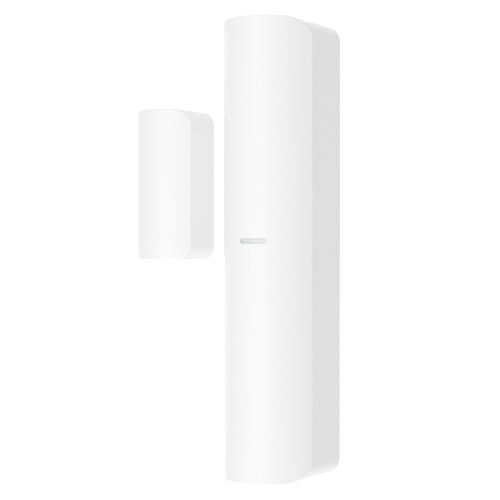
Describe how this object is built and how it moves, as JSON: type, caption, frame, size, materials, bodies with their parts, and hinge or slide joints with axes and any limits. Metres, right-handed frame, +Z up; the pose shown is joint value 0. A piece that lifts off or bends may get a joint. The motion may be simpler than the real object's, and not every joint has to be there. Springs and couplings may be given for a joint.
{
  "type": "door contact sensor",
  "caption": "Slim wall-mounted wireless sensor with a bowed front and a slot-shaped lamp, and a smaller matching magnet unit beside it.",
  "frame": {"origin": "centre of the rear face of the sensor's mounting plate, on the wall, at mid height", "axes": "+Z up along the sensor's length, +Y into the wall, so the fronts face -Y; +X to the right as seen from the front, with the magnet unit on the -X side"},
  "size_m": [0.0552, 0.025, 0.11],
  "materials": {
    "white_plastic": "satin",
    "plate_plastic": "fine matt texture",
    "foam_tape": "matt foam with a smooth release face",
    "light_pipe": "translucent, milky grey",
    "lamp": "clear resin over a yellow die",
    "circuit_green": "green solder mask",
    "radio_blue": "blue solder mask",
    "zinc_steel": "bright zinc plate",
    "spring_steel": "drawn wire",
    "black_plastic": "moulded black",
    "button_plastic": "smooth",
    "cream_plastic": "moulded",
    "reed_glass": "clear, faintly green",
    "reed_metal": "tinned nickel iron",
    "shield_metal": "tinned sheet",
    "antenna_copper": "enamelled copper",
    "capacitor_yellow": "moulded resin",
    "chip_ceramic": "ceramic with tinned ends",
    "cell_nickel": "nickel plate",
    "cell_wrap": "shrunk film",
    "contact_nickel": "nickel-plated strip",
    "magnet_nickel": "nickel-plated"
  },
  "bodies": {
    "back_plate": {"back_plate": "plate_plastic", "upper_pad": "foam_tape", "lower_pad": "foam_tape"},
    "housing": {"front_housing": "white_plastic", "light_guide": "light_pipe", "indicator_led": "lamp", "circuit_board": "circuit_green", "board_screws": "zinc_steel", "tamper_tube": "cream_plastic", "tamper_spring": "spring_steel", "tamper_switch": "black_plastic", "enrol_switch": "black_plastic", "reed_glass": "reed_glass", "reed_lower_blade": "reed_metal", "reed_upper_lead": "reed_metal", "antenna": "antenna_copper", "radio_board": "radio_blue", "radio_shield": "shield_metal", "controller_chip": "black_plastic", "storage_capacitor": "capacitor_yellow", "crystal": "shield_metal", "chip_parts": "chip_ceramic", "battery_can": "cell_nickel", "battery_ring": "black_plastic", "battery_sleeve": "cell_wrap", "battery_cradle": "black_plastic", "positive_contact": "contact_nickel", "negative_contact": "contact_nickel", "cell_spring": "spring_steel"},
    "tamper_plunger": {"tamper_plunger": "cream_plastic"},
    "tamper_button": {"tamper_button": "button_plastic"},
    "reed_blade": {"reed_upper_blade": "reed_metal"},
    "enrol_button": {"enrol_button": "button_plastic"},
    "magnet_base": {"magnet_base": "plate_plastic", "magnet_pad": "foam_tape"},
    "magnet_cover": {"magnet_cover": "white_plastic", "bar_magnet": "magnet_nickel"}
  },
  "joints": [
    {"name": "housing_release", "type": "slide", "parent": "back_plate", "child": "housing", "axis": [0, -1, 0], "range_m": [0, 0.04]},
    {"name": "tamper_plunger", "type": "slide", "parent": "housing", "child": "tamper_plunger", "axis": [0, 1, 0], "range_m": [0, 0.0016], "stiffness_N_per_m": 300, "springref_m": 0.0024, "deforming": ["tamper_spring"]},
    {"name": "tamper_button", "type": "slide", "parent": "housing", "child": "tamper_button", "axis": [0, 1, 0], "range_m": [0, 0.00025]},
    {"name": "enrol_button", "type": "slide", "parent": "housing", "child": "enrol_button", "axis": [0, -1, 0], "range_m": [0, 0.00025], "stiffness_N_per_m": 800},
    {"name": "reed_blade", "type": "hinge", "parent": "housing", "child": "reed_blade", "pos_m": [-0.0074, -0.0096, 0.0215], "axis": [1, 0, 0], "range_deg": [0, 0.6], "stiffness_Nm_per_rad": 0.005},
    {"name": "door_opening", "type": "slide", "parent": "back_plate", "child": "magnet_base", "axis": [-1, 0, 0], "range_m": [0, 0.05]},
    {"name": "magnet_cover_release", "type": "slide", "parent": "magnet_base", "child": "magnet_cover", "axis": [0, -1, 0], "range_m": [0, 0.02]}
  ],
  "couplings": [
    {"joint": "tamper_button", "follows": "tamper_plunger", "ratio": 0.15625}
  ]
}
